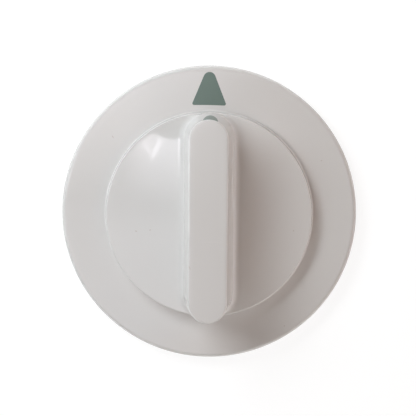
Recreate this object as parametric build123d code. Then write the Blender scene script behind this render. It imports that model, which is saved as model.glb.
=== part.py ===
from build123d import *

import os
from math import radians, sqrt, tan

# Dryer timer knob: one white moulding (skirt, drum and grip bar, hollow at the back, with a split hub for
# a D-shaped timer shaft) and the spring-steel clip that closes the hub on the shaft.
# Millimetres and degrees. +Z points out through the knob's face and +Y towards its pointer. The origin lies
# on the shaft's axis, in the plane of the skirt's back rim, on which the knob rests.

# Skirt
skirt_diameter = 72.0
skirt_height = 3.0
skirt_edge_radius = 1.1
skirt_plate = 1.8
skirt_lip = 1.8

# Drum, and the narrow ledge round its slightly crowned top
drum_diameter = 50.0
drum_height = 2.6
drum_draft = 5.0
drum_wall = 1.8
drum_rim_radius = 0.3
drum_foot_radius = 0.5
ledge_width = 0.1
ledge_fall = 0.06
crown_rise = 1.0
crown_plate = 1.6

# Grip bar across the drum, its width taken at the flat face and its ends flush with the drum's rim
bar_height = 12.2
bar_width = 9.2
bar_side_draft = 8.0
bar_end_draft = 2.6
bar_edge_radius = 0.5
bar_foot_radius = 1.7
bar_wall = 1.8

# Hub, with its socket for the timer shaft, and the ribs that carry it
shaft_diameter = 6.35
shaft_across_flat = 4.9
shaft_clearance = 0.05
socket_depth = 12.6
hub_diameter = 12.6
hub_recess = 0.6
hub_slot_width = 1.0
hub_slot_depth = 8.4
rib_count = 4
rib_thickness = 1.2
rib_recess = 1.4

# Spring clip in a groove round the hub
clip_thickness = 0.5
clip_width = 3.0
clip_opening = 70.0
clip_tip_radius = 0.7
clip_tip_turn = 75.0
clip_clearance = 0.05
clip_groove_depth = 0.6
clip_groove_setback = 0.8

# Heights above the back rim
rim_z = skirt_height + drum_height
crown_z = rim_z + crown_rise
face_z = rim_z + bar_height
plate_z = skirt_height - skirt_plate
clip_z = hub_recess + clip_groove_setback

# Distances from the axis
skirt_radius = skirt_diameter / 2
drum_radius = drum_diameter / 2
drum_foot = drum_radius + drum_height * tan(radians(drum_draft))
crown_edge = drum_radius - drum_rim_radius - ledge_width
bar_half_length = drum_radius - bar_height * tan(radians(bar_end_draft))
hub_radius = hub_diameter / 2
groove_floor = hub_radius - clip_groove_depth
socket_radius = shaft_diameter / 2 + shaft_clearance
socket_flat = shaft_across_flat - shaft_diameter / 2 + shaft_clearance

# The crown is part of a sphere that rises from the ledge
crown_radius = (crown_edge**2 + crown_rise**2) / (2 * crown_rise)

# How far cutters and blanks reach past the faces that they cut
overcut = 1.0


def crown_height(radius, plate=0.0):
    """Height of the crown at a distance from the axis, or of its underside below a plate."""
    return crown_z - crown_radius + sqrt((crown_radius - plate) ** 2 - radius**2)


def crown_arc(radius, plate=0.0):
    """Section of the crown, or of its underside, from the axis out to a radius."""
    points = [(r, crown_height(r, plate)) for r in (0, radius / 2, radius)]
    return ThreePointArc(*points)


def turned(arc, *points):
    """Solid turned from a half section: an arc from the axis, and points from its end back to its start.

    Both are drawn as (distance from axis, height).
    """
    side = Polyline(arc @ 1, *points, arc @ 0)
    return revolve(make_face([(Plane.XZ * line).edges() for line in (arc, side)]), Axis.Z)


def round_corner(section, point, radius):
    """Round one corner of a half section, given as (distance from axis, height)."""
    corner = section.vertices().sort_by_distance((point[0], 0, point[1]))[0]
    return fillet(corner, radius)


def bar_plan(z, inset=0.0):
    """Round-ended plan of the grip bar at one height, moved in by a wall."""
    drop = face_z - z
    half_length = bar_half_length + drop * tan(radians(bar_end_draft)) - inset
    half_width = bar_width / 2 + drop * tan(radians(bar_side_draft)) - inset
    return Plane.XY.offset(z) * SlotOverall(2 * half_length, 2 * half_width, rotation=90)


def grip_bar():
    """Grip bar with sharp edges, from inside the drum up to its face."""
    return loft([bar_plan(skirt_height), bar_plan(face_z)])


def bar_on_crown(bar):
    """The bar with rounded edges and a concave foot, on a crown that runs on past the drum."""
    blank_radius = skirt_radius + overcut
    blank = turned(crown_arc(blank_radius), (blank_radius, -overcut), (0, -overcut))
    joined = blank + bar
    joined = fillet(new_edges(blank, bar, combined=joined), bar_foot_radius)
    return fillet(joined.faces().sort_by(Axis.Z)[-1].edges(), bar_edge_radius)


def outline():
    """Turned outline of the skirt, the drum and its ledge, with an open column above the crown."""
    skirt_corner = (skirt_radius, skirt_height)
    foot_corner = (drum_foot, skirt_height)
    rim_corner = (drum_radius, rim_z - ledge_fall)
    column_z = face_z + overcut
    column = [(crown_edge, rim_z), (crown_edge, column_z), (0, column_z)]
    points = [(0, 0), (skirt_radius, 0), skirt_corner, foot_corner, rim_corner, *column, (0, 0)]
    section = make_face((Plane.XZ * Polyline(*points)).edges())
    section = round_corner(section, skirt_corner, skirt_edge_radius)
    section = round_corner(section, foot_corner, drum_foot_radius)
    section = round_corner(section, rim_corner, drum_rim_radius)
    return revolve(section, Axis.Z)


def hollow():
    """Space behind the skirt, the crown and the grip bar."""
    inner_lip = skirt_radius - skirt_lip
    behind_skirt = [(inner_lip, plate_z), (inner_lip, -overcut), (0, -overcut)]
    behind_crown = crown_arc(drum_radius - drum_wall, crown_plate)
    behind_drum = turned(behind_crown, (drum_foot - drum_wall, plate_z), *behind_skirt)
    inside_bar = loft([bar_plan(plate_z, bar_wall), bar_plan(face_z - bar_wall, bar_wall)])
    return behind_drum + inside_bar


def hub_and_ribs():
    """Hub from its recessed end up into the bar, and the ribs from it to the drum's wall."""
    hub = Pos(0, 0, hub_recess) * extrude(Circle(hub_radius), face_z)
    rib_plan = Rectangle(drum_radius, rib_thickness, align=(Align.MIN, Align.CENTER))
    rib = Pos(0, 0, rib_recess) * extrude(rib_plan, face_z)
    for place in PolarLocations(0, rib_count, start_angle=180 / rib_count):
        hub += place * rib
    return hub


def socket():
    """D-shaped shaft hole, the slots that split the hub, and the groove for the clip."""
    flat_side = Rectangle(2 * socket_radius, 2 * socket_radius, align=(Align.CENTER, Align.MIN))
    hole_plan = Circle(socket_radius) - Pos(0, socket_flat) * flat_side
    hole = extrude(hole_plan, hub_recess + socket_depth)
    slots = extrude(Rectangle(hub_slot_width, hub_diameter + overcut), hub_recess + hub_slot_depth)
    groove = extrude(Circle(hub_radius + overcut) - Circle(groove_floor), clip_width + 2 * clip_clearance)
    return hole + slots + Pos(0, 0, clip_z - clip_clearance) * groove


def knob_body():
    """The moulding, in one piece. Only the bar's ends reach out over the ledge, to the rim."""
    bar = grip_bar()
    outside = bar_on_crown(bar) & (outline() + bar)
    return outside - (hollow() - hub_and_ribs()) - socket()


def shaft_clip():
    """Open band of spring steel round the hub, with its two tips turned out."""
    band_radius = groove_floor + clip_clearance + clip_thickness / 2
    band = CenterArc((0, 0), band_radius, 90 + clip_opening / 2, 360 - clip_opening)
    first_tip = JernArc(band @ 0, -(band % 0), clip_tip_radius, clip_tip_turn)
    last_tip = JernArc(band @ 1, band % 1, clip_tip_radius, -clip_tip_turn)
    strip = trace(Curve() + [first_tip, band, last_tip], clip_thickness)
    return Pos(0, 0, clip_z) * extrude(strip, clip_width)


os.makedirs("parts", exist_ok=True)
for name, piece in {"knob_body": knob_body(), "shaft_clip": shaft_clip()}.items():
    piece.label = name
    export_step(piece, f"parts/{name}.step")
    print(name, len(piece.solids()), round(piece.volume, 2))
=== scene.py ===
import math

import bmesh
import bpy
from bpy.props import FloatProperty, FloatVectorProperty, PointerProperty
from mathutils import Matrix, Vector
from mathutils.bvhtree import BVHTree


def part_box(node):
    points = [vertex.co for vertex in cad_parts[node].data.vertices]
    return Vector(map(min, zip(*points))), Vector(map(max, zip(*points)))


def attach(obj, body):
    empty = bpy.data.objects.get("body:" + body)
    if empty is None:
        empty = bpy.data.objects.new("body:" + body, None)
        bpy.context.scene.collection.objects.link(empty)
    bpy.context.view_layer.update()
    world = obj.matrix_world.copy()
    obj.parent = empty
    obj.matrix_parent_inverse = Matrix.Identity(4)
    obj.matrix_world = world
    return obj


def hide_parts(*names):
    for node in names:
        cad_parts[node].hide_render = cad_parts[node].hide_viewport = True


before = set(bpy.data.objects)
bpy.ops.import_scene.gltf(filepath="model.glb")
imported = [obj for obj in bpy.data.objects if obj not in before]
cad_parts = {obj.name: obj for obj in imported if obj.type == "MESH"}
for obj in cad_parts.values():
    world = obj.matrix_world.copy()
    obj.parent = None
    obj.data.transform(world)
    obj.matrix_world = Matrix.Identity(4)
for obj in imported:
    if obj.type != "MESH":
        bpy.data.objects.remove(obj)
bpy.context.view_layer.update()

bl_info = {
    "name": "Dryer Timer Knob",
    "version": (1, 0, 0),
    "blender": (4, 5, 0),
    "location": "3D View > Sidebar > Timer Knob",
    "description": "Finishes, prints and stages a white push-on dryer timer knob",
    "category": "Object",
}

# The frame: metres, +Z out through the knob's face, +Y towards the pointer
MM = 0.001
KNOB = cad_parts["knob_body"]
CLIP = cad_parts["shaft_clip"]
FACE_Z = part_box("knob_body")[1].z
SKIRT_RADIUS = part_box("knob_body")[1].x

# Points nearer than this are one point, and edges sharper than this are shaded sharp
MERGE_DISTANCE = 0.0005 * MM
SHARP_ANGLE = math.radians(26.0)


def length(name, description, millimetres):
    return FloatProperty(
        name=name, description=description, unit="LENGTH", precision=5, default=millimetres * MM)


def angle(name, description, degrees):
    return FloatProperty(name=name, description=description, subtype="ANGLE", default=math.radians(degrees))


def colour(name, description, *default):
    return FloatVectorProperty(
        name=name, description=description, subtype="COLOR", size=3, min=0, max=1, default=default)


def share(name, description, default):
    return FloatProperty(name=name, description=description, subtype="FACTOR", min=0, max=1, default=default)


def glow(name, description, default):
    return FloatProperty(name=name, description=description, min=0, default=default)


class MouldingSettings(bpy.types.PropertyGroup):
    """Sizes of the moulding's outside."""

    skirt_height: length("Skirt height", "Height of the skirt's top above its back rim", 3.0)
    skirt_edge: length("Skirt edge", "Radius of the skirt's edge", 1.1)
    drum_radius: length("Drum radius", "Radius of the drum at its rim", 25.0)
    drum_height: length("Drum height", "Height of the drum above the skirt", 2.6)
    drum_draft: angle("Drum draft", "Draft of the drum's side", 5.0)
    drum_rim: length("Drum rim", "Radius of the drum's rim", 0.3)
    drum_foot: length("Drum foot", "Radius between the drum and the skirt", 0.5)
    ledge_width: length("Ledge width", "Width of the ledge between the rim and the crown", 0.1)
    ledge_fall: length("Ledge fall", "How far the ledge falls towards the rim", 0.06)
    crown_rise: length("Crown rise", "Rise of the drum's crowned top", 1.0)
    bar_width: length("Bar width", "Width of the grip bar's face", 9.2)
    bar_side_draft: angle("Bar side draft", "Draft of the bar's sides", 8.0)
    bar_end_draft: angle("Bar end draft", "Draft of the bar's ends, flush with the drum's rim", 2.6)
    bar_edge: length("Bar edge", "Radius of the edges of the bar's face", 0.5)
    bar_foot: length("Bar foot", "Radius between the bar and the crown", 1.7)


class PlasticSettings(bpy.types.PropertyGroup):
    """White moulded plastic and its wear."""

    colour: colour("Colour", "Colour of the moulding", 0.72, 0.702, 0.685)
    roughness: share("Roughness", "Roughness of the polished mould's finish", 0.03)
    handling: share("Handling", "How much duller the handled patches are", 0.02)
    speck_colour: colour("Speck colour", "Colour of the specks of dirt", 0.36, 0.27, 0.21)


class PrintSettings(bpy.types.PropertyGroup):
    """Grey-green print: the pointer on the skirt and the mark on the bar's end."""

    colour: colour("Colour", "Colour of the ink", 0.141, 0.196, 0.169)
    # Painted sheen: the mark on the bar's end is paled towards the colour below by the share under it,
    # standing in for the gloss of the ink
    sheen_colour: colour("Sheen colour", "Colour of the plastic under paled ink", 0.72, 0.702, 0.685)
    painted_sheen: share("Shine", "How far the bar's end mark is paled through", 0.23)
    thickness: length("Thickness", "How far the ink stands proud of the plastic", 0.02)
    pointer_base: length("Pointer base", "Distance of the pointer's base corners from the axis", 26.55)
    pointer_bow: length("Pointer bow", "Radius of the pointer's slightly bowed base", 120.0)
    pointer_tip: length("Pointer tip", "Distance of the pointer's tip from the axis", 34.63)
    pointer_width: length("Pointer width", "Width of the pointer across its base", 7.9)
    tip_radius: length("Tip radius", "Radius of the pointer's tip", 1.5)
    corner_radius: length("Corner radius", "Radius of the pointer's base corners", 0.4)
    lean: angle("Lean", "How far the pointer was printed askew", 0.5)
    aside: length("Aside", "How far right of the axis the pointer was printed", -0.2)
    mark_width: length("Mark width", "Width of the bar's end mark at the face", 3.5)
    mark_height: length("Mark height", "Height of the bar's end mark", 7.0)
    mark_aside: length("Mark aside", "How far right of the bar's middle the mark was printed", 0.35)
    mark_margin: length("Mark margin", "Rounded edge between the bar's face and the mark", 0.4)


class SteelSettings(bpy.types.PropertyGroup):
    """Cold-rolled spring steel of the shaft clip."""

    colour: colour("Colour", "Colour of the steel", 0.56, 0.555, 0.54)
    roughness: share("Roughness", "Roughness between the rolling lines", 0.26)


class StageSettings(bpy.types.PropertyGroup):
    """Camera, lamps, room, cards and floor."""

    tilt: angle("Tilt", "Angle between the view and the knob's axis", 8.5)
    turn: angle("Turn", "How far right of the pointer the camera stands", 4.8)
    roll: angle("Roll", "How far the camera is rolled", -0.52)
    distance: length("Distance", "Distance from the camera to the skirt", 450.0)
    width: length("Width", "Width that the picture covers at the skirt", 101.7)
    aim_up: length("Aim up", "How far above the skirt's middle the camera aims", 1.37)
    aim_left: length("Aim left", "How far left of the skirt's middle the camera aims", 0.24)
    key_colour: colour("Key colour", "Colour of the window", 0.915, 0.965, 1.0)
    key_glow: glow("Key glow", "Brightness of the window", 10.2)
    fill_glow: glow("Fill glow", "Brightness of the soft lamps, as a share of that in the photo", 1.0)
    table_colour: colour("Table colour", "Colour of the table", 0.75, 0.86, 1.0)
    table_glow: glow("Table glow", "Brightness of the white table far to the right", 5.5)
    rear_colour: colour("Rear colour", "Colour of the light low behind the knob", 0.95, 0.9, 0.9)
    rear_glow: glow("Rear glow", "Brightness of that light", 5.0)
    room_colour: colour("Room colour", "Colour of the room", 1.0, 0.92, 0.7)
    room_glow: glow("Room glow", "Brightness of the room on the right", 0.2)
    card_colour: colour("Card colour", "Colour of the bright cards that the plastic mirrors", 0.97, 0.94, 1.0)
    card_glow: glow("Card glow", "Brightness of those cards", 6.0)
    floor_colour: colour("Floor colour", "Colour of the floor", 0.8, 0.8, 0.8)


class KnobSettings(bpy.types.PropertyGroup):
    """All that a user would change."""

    moulding: PointerProperty(type=MouldingSettings)
    plastic: PointerProperty(type=PlasticSettings)
    prints: PointerProperty(type=PrintSettings)
    steel: PointerProperty(type=SteelSettings)
    stage: PointerProperty(type=StageSettings)


class Shade:
    """A shader's output socket, on which Python's operators add Math nodes."""

    def __init__(self, shader, socket):
        self.shader = shader
        self.socket = socket

    def math(self, operation, *values):
        return self.shader.node("ShaderNodeMath", {"operation": operation}, dict(enumerate(values)))

    def __add__(self, other):
        return self.math("ADD", self, other)

    __radd__ = __add__

    def __mul__(self, other):
        return self.math("MULTIPLY", self, other)

    __rmul__ = __mul__

    def __sub__(self, other):
        return self.math("SUBTRACT", self, other)

    def __rsub__(self, other):
        return self.math("SUBTRACT", other, self)

    def __truediv__(self, other):
        return self.math("DIVIDE", self, other)

    def __rtruediv__(self, other):
        return self.math("DIVIDE", other, self)

    def __pow__(self, other):
        return self.math("POWER", self, other)

    def __rpow__(self, other):
        return self.math("POWER", other, self)

    def larger(self, other):
        return self.math("MAXIMUM", self, other)

    def smaller(self, other):
        return self.math("MINIMUM", self, other)

    def within(self):
        """The value kept between 0 and 1."""
        return self.larger(0.0).smaller(1.0)


class Shader:
    """The node tree of a material or of the world."""

    def __init__(self, owner):
        self.owner = owner
        owner.use_nodes = True
        self.tree = owner.node_tree
        self.tree.nodes.clear()

    def node(self, kind, settings=None, sockets=None, output=0):
        """Adds any node: its settings are set first, then the values or links of its sockets."""
        node = self.tree.nodes.new(kind)
        for name, value in (settings or {}).items():
            setattr(node, name, value)
        for key, value in (sockets or {}).items():
            if isinstance(value, Shade):
                self.tree.links.new(value.socket, node.inputs[key])
            else:
                node.inputs[key].default_value = value
        return Shade(self, node.outputs[output]) if node.outputs else node

    def place(self):
        """Places on the object, in metres."""
        return self.node("ShaderNodeTexCoord", output="Object")

    def vector(self, operation, first, second, output="Vector"):
        """A vector, or with the output Value a number, worked out from two vectors."""
        return self.node("ShaderNodeVectorMath", {"operation": operation}, {0: first, 1: second}, output)

    def axes(self, vector, names):
        """Parts of a vector, given by their letters."""
        return [self.node("ShaderNodeSeparateXYZ", None, {0: vector}, name) for name in names]

    def noise(self, scale, detail=2.0, stretch=(1.0, 1.0, 1.0)):
        """Noise from 0 to 1, with a scale in waves per metre."""
        spot = self.vector("MULTIPLY", self.place(), stretch)
        return self.node("ShaderNodeTexNoise", None, {"Vector": spot, "Scale": scale, "Detail": detail})

    def mix(self, factor, first, second):
        """A colour between two."""
        return self.node("ShaderNodeMix", {"data_type": "RGBA"}, {0: factor, 6: first, 7: second}, output=2)

    def glow(self, kind, colour, strength):
        """Even light of a surface or of the world."""
        return self.node(kind, None, {"Color": opaque(colour), "Strength": strength})

    def part(self, factor, surface):
        """A share of a surface's light, from 0 to 1."""
        return self.node("ShaderNodeMixShader", None, {0: factor, 2: surface})

    def both(self, first, second):
        """The light of two surfaces together."""
        return self.node("ShaderNodeAddShader", None, {0: first, 1: second})

    def streak(self, middle, along, half_length, half_width):
        """Mask of a soft-edged streak on the object: 1 inside, 0 outside."""
        offset = self.vector("SUBTRACT", self.place(), middle)
        run = self.vector("DOT_PRODUCT", offset, along, "Value")
        reach_squared = self.vector("DOT_PRODUCT", offset, offset, "Value")
        across = (reach_squared - run * run) / half_width**2
        lengthwise = run * run / half_length**2
        return ((1.0 - across - lengthwise) * 2.0).within()

    def bump(self, height, distance, strength):
        sockets = {"Height": height, "Distance": distance, "Strength": strength}
        return self.node("ShaderNodeBump", None, sockets)

    def finish(self, surface):
        self.node("ShaderNodeOutputMaterial", None, {"Surface": surface})
        return self.owner


def new_material(name):
    return Shader(bpy.data.materials.new(name))


def opaque(colour):
    return (*colour, 1.0)


# Wear on the moulding: middle, end and half width of each mark, in millimetres
DIRT_SPECKS = {
    "on the drum, left": ((-17.65, -4.05, 6.1), (-17.35, -4.15, 6.1), 0.17),
    "on the drum, nearer the bar": ((-14.22, -3.72, 6.25), (-14.02, -3.62, 6.25), 0.16),
    "on the drum, right": ((20.62, -3.56, 5.9), (20.62, -3.36, 5.9), 0.18),
    "on the skirt, upper left": ((-23.55, 18.62, 3.0), (-23.8, 18.98, 3.0), 0.12),
    "on the skirt, right": ((27.25, 13.32, 3.0), (27.5, 13.4, 3.0), 0.13),
    "on the skirt, lower right": ((18.84, -27.78, 3.0), (19.05, -27.7, 3.0), 0.15),
    "on the bar's left edge": ((-4.3, -10.85, 17.7), (-4.05, -11.4, 17.75), 0.16),
}
FACE_SCRATCH = ((0.9, -4.6, 17.8), (4.2, -4.56, 17.8), 0.07)

# How far a speck hides the plastic, and the height above which print is on the bar
SPECK_COVER = 0.42
BAR_PRINT_Z = 8.0 * MM


def mark_on(shader, start, end, half_width):
    """Streak mask from a mark's middle and one of its ends."""
    middle = Vector(start) * MM
    arm = Vector(end) * MM - middle
    return shader.streak(middle, arm.normalized(), arm.length, half_width * MM)


def white_plastic(settings):
    """Glossy moulded plastic with faint flow, handled patches, a scratch and specks of dirt."""
    shader = new_material("white_plastic")
    flow = shader.noise(scale=45.0, detail=3.0)
    grain = shader.noise(scale=900.0)
    handled = (shader.noise(scale=160.0, detail=4.0) - 0.45).within()
    dirt = 0.0
    for mark in DIRT_SPECKS.values():
        dirt = mark_on(shader, *mark).larger(dirt)
    scratch = mark_on(shader, *FACE_SCRATCH)
    flow_colour = opaque(part * 0.985 for part in settings.colour)
    tint = shader.mix(flow * 0.5 + 0.25, flow_colour, opaque(settings.colour))
    colour = shader.mix(dirt * SPECK_COVER, tint, opaque(settings.speck_colour))
    roughness = settings.roughness + handled * settings.handling + dirt * 0.4 + scratch * 0.3
    normal = shader.bump(grain * 0.2 + dirt - scratch * 0.4, distance=0.02 * MM, strength=0.05)
    surface = shader.node("ShaderNodeBsdfPrincipled", None, {
        "Base Color": colour, "Roughness": roughness, "IOR": 1.5, "Normal": normal})
    return shader.finish(surface)


def green_print(settings):
    """Pad-printed ink: uneven and duller than the plastic, with painted sheen paling the mark on the bar's
    end.
    """
    shader = new_material("green_print")
    cloud = shader.noise(scale=350.0, detail=3.0)
    grain = shader.noise(scale=2600.0)
    pinholes = ((shader.noise(scale=1500.0, detail=1.0) - 0.74).within() * 4.0).within()
    thin = opaque(min(1.0, part * 1.12) for part in settings.colour)
    ink = shader.mix(cloud * 0.7 + pinholes * 0.3, opaque(settings.colour), thin)
    height = shader.axes(shader.place(), "Z")[0]
    # Painted sheen: all print on the bar, which is the mark on its end, is paled evenly towards the plastic's
    # colour
    on_bar = ((height - BAR_PRINT_Z) / MM).within()
    colour = shader.mix(on_bar * settings.painted_sheen, ink, opaque(settings.sheen_colour))
    normal = shader.bump(grain, distance=0.01 * MM, strength=0.15)
    surface = shader.node("ShaderNodeBsdfPrincipled", None, {
        "Base Color": colour, "Roughness": cloud * 0.08 + 0.2, "IOR": 1.52, "Normal": normal})
    return shader.finish(surface)


def spring_steel(settings):
    """Cold-rolled strip: fine rolling lines round the band and a few darker stains."""
    shader = new_material("spring_steel")
    lines = shader.noise(scale=1200.0, detail=3.0, stretch=(0.15, 0.15, 6.0))
    stains = (shader.noise(scale=260.0, detail=3.0) - 0.55).within()
    dark = opaque(part * 0.7 for part in settings.colour)
    colour = shader.mix(stains * 1.6, opaque(settings.colour), dark)
    roughness = settings.roughness + lines * 0.16 + stains * 0.2
    normal = shader.bump(lines, distance=0.01 * MM, strength=0.25)
    surface = shader.node("ShaderNodeBsdfPrincipled", None, {
        "Base Color": colour, "Metallic": 1.0, "Roughness": roughness, "Normal": normal})
    return shader.finish(surface)


def arc_points(centre, radius, start, end, steps):
    """Points along an arc from one angle to another."""
    angles = [start + (end - start) * step / steps for step in range(steps + 1)]
    return [centre + radius * Vector((math.cos(a), math.sin(a))) for a in angles]


def line_points(start, end, steps):
    """Points along a line, without its start."""
    return [start.lerp(end, step / steps) for step in range(1, steps + 1)]


def rounded_corner(before, corner, after, radius, steps):
    """Points of the arc that rounds a corner between two straight runs."""
    to_before = (before - corner).normalized()
    to_after = (after - corner).normalized()
    half = to_before.angle(to_after) / 2
    middle = (to_before + to_after).normalized()
    centre = corner + middle * (radius / math.sin(half))
    first = corner + to_before * (radius / math.tan(half)) - centre
    last = corner + to_after * (radius / math.tan(half)) - centre
    start = math.atan2(first.y, first.x)
    turn = math.atan2(first.cross(last), first.dot(last))
    return arc_points(centre, radius, start, start + turn, steps)


class Outside:
    """The moulding's outside, worked out in upright sections that stand all round the grip bar.

    A section starts on the bar's spine and runs out along a ray: over the bar's face and edge, down its wall,
    round its foot and over the crown to the drum's ledge. From there the knob is turned about its axis.
    """

    side_stations = 64
    end_stations = 60
    face_steps = 6
    edge_steps = 8
    wall_steps = 8
    foot_steps = 12
    crown_steps = 12
    rim_steps = 8
    drum_steps = 3
    skirt_steps = 10
    skirt_edge_steps = 12
    skirt_side_steps = 2
    tiny = 0.0001 * MM

    def __init__(self, sizes):
        self.sizes = sizes
        self.rim_z = sizes.skirt_height + sizes.drum_height
        self.crown_edge = sizes.drum_radius - sizes.drum_rim - sizes.ledge_width
        self.crown_radius = (self.crown_edge**2 + sizes.crown_rise**2) / (2 * sizes.crown_rise)
        self.crown_centre = self.rim_z + sizes.crown_rise - self.crown_radius
        self.end_slope = math.tan(sizes.bar_end_draft)
        self.side_slope = math.tan(sizes.bar_side_draft)
        self.bar_half_length = sizes.drum_radius - (FACE_Z - self.rim_z) * self.end_slope
        self.spine_end = self.bar_plan(self.rim_z + sizes.crown_rise / 2)[1]
        self.turned = self.turned_points()

    def bar_plan(self, z):
        """Half width of the bar at one height, and how far its round ends' middles lie from the axis."""
        depth = FACE_Z - z
        half_width = self.sizes.bar_width / 2 + depth * self.side_slope
        return half_width, self.bar_half_length + depth * self.end_slope - half_width

    def wall(self, y, ray, z):
        """Distance along a ray from the bar's spine to its wall at one height."""
        half_width, end = self.bar_plan(z)
        if ray.x and abs(y + ray.y * half_width / abs(ray.x)) <= end:
            return half_width / abs(ray.x)
        offset = y - math.copysign(end, y)
        return math.sqrt(half_width**2 - (offset * ray.x) ** 2) - offset * ray.y

    def stations(self):
        """Start on the spine and direction of each section, anticlockwise from the bar's right side."""
        end = self.spine_end
        up = [-end + 2 * end * step / self.side_stations for step in range(self.side_stations + 1)]
        fan = [math.pi * step / self.end_stations for step in range(1, self.end_stations)]
        right = [(y, Vector((1.0, 0.0))) for y in up]
        front = [(end, Vector((math.cos(a), math.sin(a)))) for a in fan]
        left = [(-y, Vector((-1.0, 0.0))) for y in up]
        rear = [(-end, Vector((-math.cos(a), -math.sin(a)))) for a in fan]
        return right + front + left + rear

    def section(self, y, ray):
        """Points (distance along the ray, height) from the bar's spine to the drum's ledge."""
        sizes = self.sizes
        ledge = math.sqrt(self.crown_edge**2 - (y * ray.x) ** 2) - y * ray.y
        top = Vector((self.wall(y, ray, FACE_Z), FACE_Z))
        foot_z = self.rim_z + sizes.crown_rise / 2
        slope = (self.wall(y, ray, foot_z) - top.x) / (FACE_Z - foot_z)
        draft = math.atan(slope)
        out = Vector((math.cos(draft), math.sin(draft)))

        edge_centre = Vector((top.x - sizes.bar_edge * (1 - out.y) / out.x, FACE_Z - sizes.bar_edge))
        edge = arc_points(edge_centre, sizes.bar_edge, math.pi / 2, draft, self.edge_steps)

        # The foot's arc touches the wall and the circle in which the section cuts the crown
        circle = Vector((-y * ray.y, self.crown_centre))
        circle_radius = math.sqrt(self.crown_radius**2 - (y * ray.x) ** 2)
        down = Vector((slope, -1.0))
        start = top + out * sizes.bar_foot - circle
        along = start.dot(down)
        beyond = start.length_squared - (circle_radius + sizes.bar_foot) ** 2
        drop = (-along - math.sqrt(along**2 - down.length_squared * beyond)) / down.length_squared
        centre = top + out * sizes.bar_foot + down * drop
        to_crown = circle - centre
        first = math.pi + draft
        last = 2 * math.pi + math.atan2(to_crown.y, to_crown.x)

        wall_end = centre - out * sizes.bar_foot
        foot = arc_points(centre, sizes.bar_foot, first, last, self.foot_steps)
        if self.wall(y, ray, self.rim_z) >= ledge:
            # The bar's ends stand over the ledge and have no foot
            wall_end = self.rim_crossing(y, ray)
            foot = [wall_end] * (self.foot_steps + 1)
        elif foot[-1].x > ledge:
            # The ledge cuts the foot off
            last = 2 * math.pi - math.acos((ledge - centre.x) / sizes.bar_foot)
            foot = arc_points(centre, sizes.bar_foot, first, last, self.foot_steps)
        points = [Vector((0.0, FACE_Z))]
        points += line_points(points[0], edge[0], self.face_steps)
        points += edge[1:]
        points += line_points(edge[-1], wall_end, self.wall_steps)
        points += foot[1:]
        for step in range(1, self.crown_steps + 1):
            reach = foot[-1].x + (ledge - foot[-1].x) * step / self.crown_steps
            height = self.crown_centre + math.sqrt(circle_radius**2 - (reach - circle.x) ** 2)
            points.append(Vector((reach, height)) if foot[-1].x < ledge - self.tiny else foot[-1])
        return points

    def rim_crossing(self, y, ray):
        """Point (distance along the ray, height) at which the bar's wall runs into the turned rim."""
        high, low = self.rim_z, self.rim_z - 2 * self.sizes.drum_rim
        halvings = 30
        for _ in range(halvings):
            z = (high + low) / 2
            reach = self.wall(y, ray, z)
            if math.hypot(ray.x * reach, y + ray.y * reach) > self.turned_radius(z):
                high = z
            else:
                low = z
        return Vector((reach, z))

    def turned_radius(self, z):
        """Distance of the turned outside from the axis at one height."""
        for upper, lower in zip(self.turned, self.turned[1:]):
            if lower.y <= z <= upper.y:
                return upper.x + (lower.x - upper.x) * (upper.y - z) / (upper.y - lower.y)
        raise ValueError(f"no outside at height {z}")

    def turned_points(self):
        """Points (distance from the axis, height) from the crown's edge to the skirt's back rim."""
        sizes = self.sizes
        ledge = Vector((self.crown_edge, self.rim_z))
        rim = Vector((sizes.drum_radius, self.rim_z - sizes.ledge_fall))
        drum_foot = sizes.drum_radius + sizes.drum_height * math.tan(sizes.drum_draft)
        foot = Vector((drum_foot, sizes.skirt_height))
        edge = Vector((SKIRT_RADIUS, sizes.skirt_height))
        back = Vector((SKIRT_RADIUS, 0.0))
        rim_arc = rounded_corner(ledge, rim, foot, sizes.drum_rim, self.rim_steps)
        foot_arc = rounded_corner(rim, foot, edge, sizes.drum_foot, self.rim_steps)
        edge_arc = rounded_corner(foot, edge, back, sizes.skirt_edge, self.skirt_edge_steps)
        points = [ledge] + rim_arc
        points += line_points(rim_arc[-1], foot_arc[0], self.drum_steps) + foot_arc[1:]
        points += line_points(foot_arc[-1], edge_arc[0], self.skirt_steps) + edge_arc[1:]
        return points + line_points(edge_arc[-1], back, self.skirt_side_steps)

    def columns(self):
        """Column of points down the outside at each station, all equally many."""
        for y, ray in self.stations():
            spine = Vector((0.0, y))
            column = []
            for reach, height in self.section(y, ray):
                plan = spine + ray * reach
                column.append((plan.x, plan.y, height))
            last = column[-1]
            rim = Vector(last[:2])
            outward = rim.normalized()
            for reach, height in self.turned:
                hidden = reach < rim.length - self.tiny
                column.append(last if hidden else (outward.x * reach, outward.y * reach, height))
            yield column


def add_outside(shape, sizes):
    """Adds the moulding's outside to a mesh, as a grid of quads with no doubled points."""
    columns = [[shape.verts.new(point) for point in column] for column in Outside(sizes).columns()]
    for column, following in zip(columns, columns[1:] + columns[:1]):
        for row in range(len(column) - 1):
            shape.faces.new((column[row], column[row + 1], following[row + 1], following[row]))
    bmesh.ops.remove_doubles(shape, verts=shape.verts[:], dist=MERGE_DISTANCE)


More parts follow.
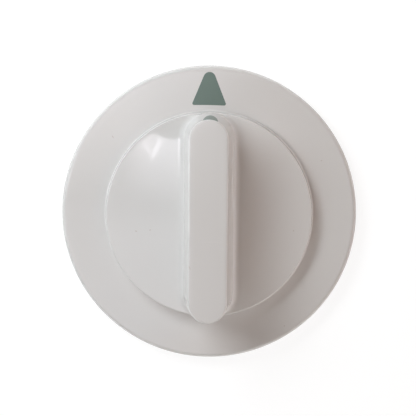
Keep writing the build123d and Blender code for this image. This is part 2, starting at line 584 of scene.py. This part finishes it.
def add_underside(shape):
    """Adds the solid's hidden side: all that its back rim parts from the outside."""
    copy = bmesh.new()
    copy.from_mesh(KNOB.data)
    bmesh.ops.remove_doubles(copy, verts=copy.verts[:], dist=MERGE_DISTANCE)
    back = [face for face in copy.faces if face.calc_center_median().z < MERGE_DISTANCE]
    bmesh.ops.delete(copy, geom=back, context="FACES_ONLY")
    outermost = max(copy.verts, key=lambda vert: vert.co.xy.length)
    outside = {outermost}
    fresh = [outermost]
    while fresh:
        vert = fresh.pop()
        for edge in vert.link_edges:
            other = edge.other_vert(vert)
            if edge.link_faces and other not in outside:
                outside.add(other)
                fresh.append(other)
    bmesh.ops.delete(copy, geom=list(outside), context="VERTS")
    loose = [edge for edge in copy.edges if not edge.link_faces]
    bmesh.ops.delete(copy, geom=loose, context="EDGES")
    mesh = bpy.data.meshes.new("underside")
    copy.to_mesh(mesh)
    copy.free()
    if mesh.has_custom_normals:
        # The corner normals that came with the solid don't fit the merged points
        mesh.attributes.remove(mesh.attributes["custom_normal"])
    shape.from_mesh(mesh)
    bpy.data.meshes.remove(mesh)


def build_moulding(sizes):
    """The moulding as one closed mesh: a fine outside, the solid's hidden side and the back rim between."""
    shape = bmesh.new()
    add_outside(shape, sizes)
    add_underside(shape)
    bmesh.ops.bridge_loops(shape, edges=[edge for edge in shape.edges if edge.is_boundary])
    bmesh.ops.recalc_face_normals(shape, faces=shape.faces[:])
    mesh = bpy.data.meshes.new("knob_moulding")
    shape.to_mesh(mesh)
    shape.free()
    mesh.shade_smooth()
    mesh.set_sharp_from_angle(angle=SHARP_ANGLE)
    piece = bpy.data.objects.new("knob_moulding", mesh)
    bpy.context.scene.collection.objects.link(piece)
    weighting = piece.modifiers.new("even shading", "WEIGHTED_NORMAL")
    weighting.keep_sharp = True
    return piece


def rounded_arrow(width, height, tip_radius, corner_radius, base_bow):
    """Outline of an arrow that points along +Y, with round corners and a base that bows towards the tip.

    The base's corners lie on the X axis, and base_bow is the radius of the base.
    """
    slope = arrow_slope(width, height, tip_radius)
    left_slope = math.pi - slope
    tip = arc_points(Vector((0.0, height - tip_radius)), tip_radius, slope, left_slope, steps=12)
    half = width / 2 - corner_radius / math.tan((math.pi / 2 + slope) / 2)
    inner = Vector((-half, corner_radius))
    left_corner = arc_points(inner, corner_radius, left_slope, math.pi * 1.5, steps=6)
    right_corner = [Vector((-point.x, point.y)) for point in reversed(left_corner)]
    base = []
    base_steps = 12
    base_centre = -math.sqrt(base_bow**2 - half**2)
    for step in range(1, base_steps):
        x = -half + 2 * half * step / base_steps
        base.append(Vector((x, base_centre + math.sqrt(base_bow**2 - x**2))))
    return tip + left_corner + base + right_corner


def arrow_slope(width, height, tip_radius):
    """Angle above the X axis of the normal of an arrow's right side, which is tangent to its round tip."""
    apex = Vector((0.0, height - tip_radius))
    corner = Vector((width / 2, 0.0))
    arm = corner - apex
    return math.atan2(arm.y, arm.x) + math.acos(tip_radius / arm.length)


# Print is cut into strips to follow the moulding: their width on the flat skirt and on the bar's round end
SKIRT_STRIP = 2.0 * MM
BAR_END_STRIP = 0.3 * MM


def print_on_knob(name, outline, to_knob, towards, thickness, strip):
    """Thin closed piece of ink, laid on the moulding by casting each point of an outline at it."""
    surface = BVHTree.FromObject(bpy.data.objects["knob_moulding"], bpy.context.evaluated_depsgraph_get())
    shape = bmesh.new()
    shape.faces.new([shape.verts.new((point.x, point.y, 0.0)) for point in outline])
    left = min(point.x for point in outline)
    right = max(point.x for point in outline)
    cuts = int((right - left) / strip)
    for cut in range(1, cuts):
        place = (left + (right - left) * cut / cuts, 0.0, 0.0)
        geometry = shape.verts[:] + shape.edges[:] + shape.faces[:]
        bmesh.ops.bisect_plane(shape, geom=geometry, plane_co=place, plane_no=(1.0, 0.0, 0.0))
    cast_from = 50.0 * MM
    for vert in shape.verts:
        start = to_knob @ vert.co
        spot = surface.ray_cast(start - towards * cast_from, towards)[0]
        if spot is None:
            raise RuntimeError(f"{name} misses the moulding at {start}")
        vert.co = spot
    shape.faces.ensure_lookup_table()
    shape.normal_update()
    if shape.faces[0].normal.dot(towards) > 0:
        bmesh.ops.reverse_faces(shape, faces=shape.faces[:])
    bottom = bmesh.ops.duplicate(shape, geom=shape.verts[:] + shape.edges[:] + shape.faces[:])
    bottom_faces = [item for item in bottom["geom"] if isinstance(item, bmesh.types.BMFace)]
    bmesh.ops.reverse_faces(shape, faces=bottom_faces)
    bottom_verts = {item for item in bottom["geom"] if isinstance(item, bmesh.types.BMVert)}
    for vert in shape.verts:
        shift = -thickness if vert in bottom_verts else thickness
        vert.co -= towards * shift
    edges = [edge for edge in shape.edges if edge.is_boundary]
    bmesh.ops.bridge_loops(shape, edges=edges)
    mesh = bpy.data.meshes.new(name)
    shape.to_mesh(mesh)
    shape.free()
    piece = bpy.data.objects.new(name, mesh)
    bpy.context.scene.collection.objects.link(piece)
    return piece


def knob_settings(context):
    return context.scene.timer_knob


class KNOB_OT_build_moulding(bpy.types.Operator):
    """Build the white moulding with its smooth outside"""

    bl_idname = "timer_knob.build_moulding"
    bl_label = "Build the moulding"

    def execute(self, context):
        settings = knob_settings(context)
        piece = build_moulding(settings.moulding)
        piece.data.materials.append(white_plastic(settings.plastic))
        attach(piece, "root")
        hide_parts("knob_body")
        return {"FINISHED"}


class KNOB_OT_dress_clip(bpy.types.Operator):
    """Give the shaft clip its spring steel"""

    bl_idname = "timer_knob.dress_clip"
    bl_label = "Dress the clip"

    def execute(self, context):
        CLIP.data.materials.clear()
        CLIP.data.materials.append(spring_steel(knob_settings(context).steel))
        return {"FINISHED"}


class KNOB_OT_print_marks(bpy.types.Operator):
    """Print the pointer on the skirt and the mark on the bar's end"""

    bl_idname = "timer_knob.print_marks"
    bl_label = "Print the marks"

    def execute(self, context):
        settings = knob_settings(context).prints
        ink = green_print(settings)
        for piece in (self.pointer(settings), self.bar_mark(settings)):
            piece.data.materials.append(ink)
            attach(piece, "root")
        return {"FINISHED"}

    def pointer(self, settings):
        """Arrow on the skirt."""
        height = settings.pointer_tip - settings.pointer_base
        outline = rounded_arrow(
            settings.pointer_width, height, settings.tip_radius, settings.corner_radius, settings.pointer_bow)
        place = Matrix.Translation((settings.aside, settings.pointer_base, 0.0))
        to_knob = place @ Matrix.Rotation(-settings.lean, 4, "Z")
        down = Vector((0.0, 0.0, -1.0))
        return print_on_knob("pointer_print", outline, to_knob, down, settings.thickness, SKIRT_STRIP)

    def bar_mark(self, settings):
        """Half an ellipse on the bar's end wall, pointing down at the skirt."""
        half_width = settings.mark_width / 2
        arc = arc_points(Vector((0.0, 0.0)), 1.0, 0.0, math.pi, steps=32)
        outline = [Vector((point.x * half_width, point.y * settings.mark_height)) for point in arc]
        place = Matrix.Translation((settings.mark_aside, SKIRT_RADIUS, FACE_Z - settings.mark_margin))
        to_knob = place @ Matrix.Rotation(-math.pi / 2, 4, "X")
        inward = Vector((0.0, -1.0, 0.0))
        return print_on_knob("bar_end_print", outline, to_knob, inward, settings.thickness, BAR_END_STRIP)


# The window: azimuth, elevation, distance and size in metres
WINDOW = (135.0, 34.0, 0.35, (0.29, 0.12))

# Soft lamps round the knob: azimuth, elevation and brightness as red, green and blue
SOFT_LAMPS = {
    "above left": (225.0, 66.0, (1.53, 1.4, 1.38)),
    "behind right": (320.0, 45.0, (1.3, 1.13, 1.14)),
    "low left": (235.0, 16.0, (1.12, 1.34, 1.36)),
    "low right": (30.0, 20.0, (0.85, 0.4, 0.1)),
}
SOFT_LAMP_DISTANCE = 0.7
SOFT_LAMP_SIZE = (0.51, 0.375)

# Cards above the knob, which the plastic mirrors: brightness, and outline in millimetres. The light rises
# from none between the last two corners to all at the first corner's Y, and fades at left and right.
CARDS = {
    "overhead_card": (
        1.0, ((-128, 34), (-81, 32), (-71, 30), (-61, 26), (-52, 25), (20, 25), (20, -70), (-128, -70))),
    "side_card": (1.5, ((-600, 26), (-130, 26), (-130, -70), (-600, -70))),
    "rear_card": (0.25, ((-420, -110), (-420, -400), (20, -400), (20, -30), (-420, -30))),
}
CARD_HEIGHT = 500.0
LEFT_FADE = 40.0 * MM
RIGHT_FADE = 67.0 * MM
FADE_POWER = 1.2

# Two bright bands that form a V on the overhead card: middle, end, half width in millimetres and brightness
CARD_BANDS = {
    "overhead_card": (
        ((-88.0, 13.6), (-93.5, 22.3), 2.8, 0.6),
        ((-75.5, 11.5), (-68.5, 27.5), 4.2, 0.7),
    ),
}

# No place on a card is brighter than this many times its glow
CARD_PEAK = 2.0

WHITE = (1.0, 1.0, 1.0)

# The floor: half its width, its gap to the knob, and for the camera its own light and its share of colour
FLOOR_HALF = 1.0
FLOOR_GAP = 0.05 * MM
FLOOR_LIGHT = 0.84
FLOOR_SHADE = 0.3


class KNOB_OT_set_stage(bpy.types.Operator):
    """Set up the floor, the lamps, the room and the camera"""

    bl_idname = "timer_knob.set_stage"
    bl_label = "Set the stage"

    def execute(self, context):
        settings = knob_settings(context).stage
        context.scene.view_settings.view_transform = "Standard"
        self.floor(context.scene, settings)
        self.room(context.scene, settings)
        self.softbox(context.scene, "window", *WINDOW, settings.key_glow, settings.key_colour)
        for name, (azimuth, elevation, glow) in SOFT_LAMPS.items():
            colour = [part / max(glow) for part in glow]
            strength = max(glow) * settings.fill_glow
            self.softbox(
                context.scene, name, azimuth, elevation, SOFT_LAMP_DISTANCE, SOFT_LAMP_SIZE, strength, colour)
        for name in CARDS:
            self.card(context.scene, settings, name)
        self.camera(context.scene, settings)
        return {"FINISHED"}

    def seen(self, shader):
        """1 where the camera sees a surface, also in a mirror or through glass."""
        kinds = ("Is Camera Ray", "Is Glossy Ray", "Is Transmission Ray")
        camera, glossy, through = (shader.node("ShaderNodeLightPath", output=kind) for kind in kinds)
        return camera.larger(glossy).larger(through)

    def floor(self, scene, settings):
        """Pale floor that looks white and keeps a faint shadow."""
        signs = ((-1, -1), (1, -1), (1, 1), (-1, 1))
        corners = [(x * FLOOR_HALF, y * FLOOR_HALF, 0.0) for x, y in signs]
        mesh = bpy.data.meshes.new("floor")
        mesh.from_pydata(corners, [], [(0, 1, 2, 3)])
        floor = bpy.data.objects.new("floor", mesh)
        floor.location.z = -FLOOR_GAP
        scene.collection.objects.link(floor)
        shader = new_material("floor")
        faint_colour = opaque(part * FLOOR_SHADE for part in settings.floor_colour)
        plain = shader.node("ShaderNodeBsdfDiffuse", None, {"Color": opaque(settings.floor_colour)})
        faint = shader.node("ShaderNodeBsdfDiffuse", None, {"Color": faint_colour})
        shown = shader.both(faint, shader.glow("ShaderNodeEmission", WHITE, FLOOR_LIGHT))
        surface = shader.node("ShaderNodeMixShader", None, {0: self.seen(shader), 1: plain, 2: shown})
        mesh.materials.append(shader.finish(surface))

    def room(self, scene, settings):
        """Dim room, with light low on the right and behind, that is white where the camera sees it."""
        world = bpy.data.worlds.new("room")
        scene.world = world
        shader = Shader(world)
        direction = shader.node("ShaderNodeTexCoord", output="Generated")
        right, ahead, height = shader.axes(direction, "XYZ")
        # All of it at the horizon and below, and none where a direction's Z is above one seventh
        low = (1.0 - height * 7.0).within()
        room_side = (right * 0.8 - ahead * 0.6).within()
        table_side = low * (right * 0.9 + ahead * 0.2).within()
        rear_side = low * (right * 0.5 - ahead * 0.85).within()
        room = shader.glow("ShaderNodeBackground", settings.room_colour, settings.room_glow)
        table = shader.glow("ShaderNodeBackground", settings.table_colour, settings.table_glow)
        rear = shader.glow("ShaderNodeBackground", settings.rear_colour, settings.rear_glow)
        lit = shader.both(shader.part(room_side, room), shader.part(table_side, table))
        lit = shader.both(lit, shader.part(rear_side, rear))
        white = shader.glow("ShaderNodeBackground", WHITE, 1.0)
        camera = shader.node("ShaderNodeLightPath", output="Is Camera Ray")
        shown = shader.node("ShaderNodeMixShader", None, {0: camera, 1: lit, 2: white})
        shader.node("ShaderNodeOutputWorld", None, {"Surface": shown})

    def card(self, scene, settings, name):
        """Bright card overhead that shows only in reflections."""
        brightness, outline = CARDS[name]
        mesh = bpy.data.meshes.new(name)
        corners = [Vector((x, y, CARD_HEIGHT)) * MM for x, y in outline]
        mesh.from_pydata(corners, [], [tuple(range(len(corners)))])
        card = bpy.data.objects.new(name, mesh)
        scene.collection.objects.link(card)
        card.visible_camera = card.visible_diffuse = card.visible_shadow = False
        left, dark = corners[-1].xy
        right, bright = corners[-2].x, corners[0].y
        shader = new_material(name)
        across, along = shader.axes(shader.place(), "XY")
        light = ((along - dark) / (bright - dark)).within() ** FADE_POWER * brightness
        light = light * ((across - left) / LEFT_FADE).within() * ((right - across) / RIGHT_FADE).within()
        for middle, end, half_width, strength in CARD_BANDS.get(name, ()):
            band = mark_on(shader, (*middle, CARD_HEIGHT), (*end, CARD_HEIGHT), half_width)
            light = light + band * strength
        glowing = shader.glow("ShaderNodeEmission", settings.card_colour, settings.card_glow * CARD_PEAK)
        clear = shader.node("ShaderNodeBsdfTransparent")
        mesh.materials.append(shader.finish(shader.both(shader.part(light / CARD_PEAK, glowing), clear)))

    def softbox(self, scene, name, azimuth, elevation, distance, size, glow, colour):
        """Rectangular lamp that faces the knob, given by its brightness. The plastic doesn't mirror it."""
        lamp = bpy.data.lights.new(name, "AREA")
        lamp.shape = "RECTANGLE"
        lamp.size, lamp.size_y = size
        lamp.energy = glow * math.pi * size[0] * size[1]
        lamp.color = colour
        turn, rise = math.radians(azimuth), math.radians(elevation)
        away = Vector((math.cos(rise) * math.cos(turn), math.cos(rise) * math.sin(turn), math.sin(rise)))
        holder = bpy.data.objects.new(name, lamp)
        holder.location = away * distance
        holder.rotation_euler = away.to_track_quat("Z", "Y").to_euler()
        holder.visible_camera = holder.visible_glossy = False
        scene.collection.objects.link(holder)

    def camera(self, scene, settings):
        """Long lens that looks down on the face, from a little above and right of the pointer."""
        camera = bpy.data.cameras.new("camera")
        camera.lens = camera.sensor_width * settings.distance / settings.width
        lean, turn = settings.tilt, math.pi / 2 - settings.turn
        away = Vector((math.sin(lean) * math.cos(turn), math.sin(lean) * math.sin(turn), math.cos(lean)))
        target = Vector((0.0, 0.0, knob_settings(bpy.context).moulding.skirt_height))
        eye = target + away * settings.distance
        right = Vector((0.0, 1.0, 0.0)).cross(away).normalized()
        up = away.cross(right)
        aim = target + up * settings.aim_up - right * settings.aim_left
        back = (eye - aim).normalized()
        right = Vector((0.0, 1.0, 0.0)).cross(back).normalized()
        up = back.cross(right)
        turned = Matrix((right, up, back)).transposed() @ Matrix.Rotation(-settings.roll, 3, "Z")
        holder = bpy.data.objects.new("camera", camera)
        holder.matrix_world = Matrix.Translation(eye) @ turned.to_4x4()
        scene.collection.objects.link(holder)
        scene.camera = holder


class KNOB_PT_panel(bpy.types.Panel):
    """Timer knob's sizes, colours and steps"""

    bl_label = "Timer Knob"
    bl_idname = "KNOB_PT_panel"
    bl_space_type = "VIEW_3D"
    bl_region_type = "UI"
    bl_category = "Timer Knob"

    def draw(self, context):
        settings = knob_settings(context)
        for group in (settings.moulding, settings.plastic, settings.prints, settings.steel, settings.stage):
            box = self.layout.box()
            for name in group.bl_rna.properties.keys():
                if name not in ("rna_type", "name"):
                    box.prop(group, name)
        for step in STEPS:
            self.layout.operator(step.bl_idname)


SETTINGS = (MouldingSettings, PlasticSettings, PrintSettings, SteelSettings, StageSettings, KnobSettings)
STEPS = (KNOB_OT_build_moulding, KNOB_OT_dress_clip, KNOB_OT_print_marks, KNOB_OT_set_stage)
CLASSES = (*SETTINGS, *STEPS, KNOB_PT_panel)


def register():
    for cls in CLASSES:
        bpy.utils.register_class(cls)
    bpy.types.Scene.timer_knob = PointerProperty(type=KnobSettings)


def unregister():
    del bpy.types.Scene.timer_knob
    for cls in reversed(CLASSES):
        bpy.utils.unregister_class(cls)


def main():
    register()
    bpy.ops.timer_knob.build_moulding()
    bpy.ops.timer_knob.dress_clip()
    bpy.ops.timer_knob.print_marks()
    bpy.ops.timer_knob.set_stage()


if __name__ == "__main__":
    main()
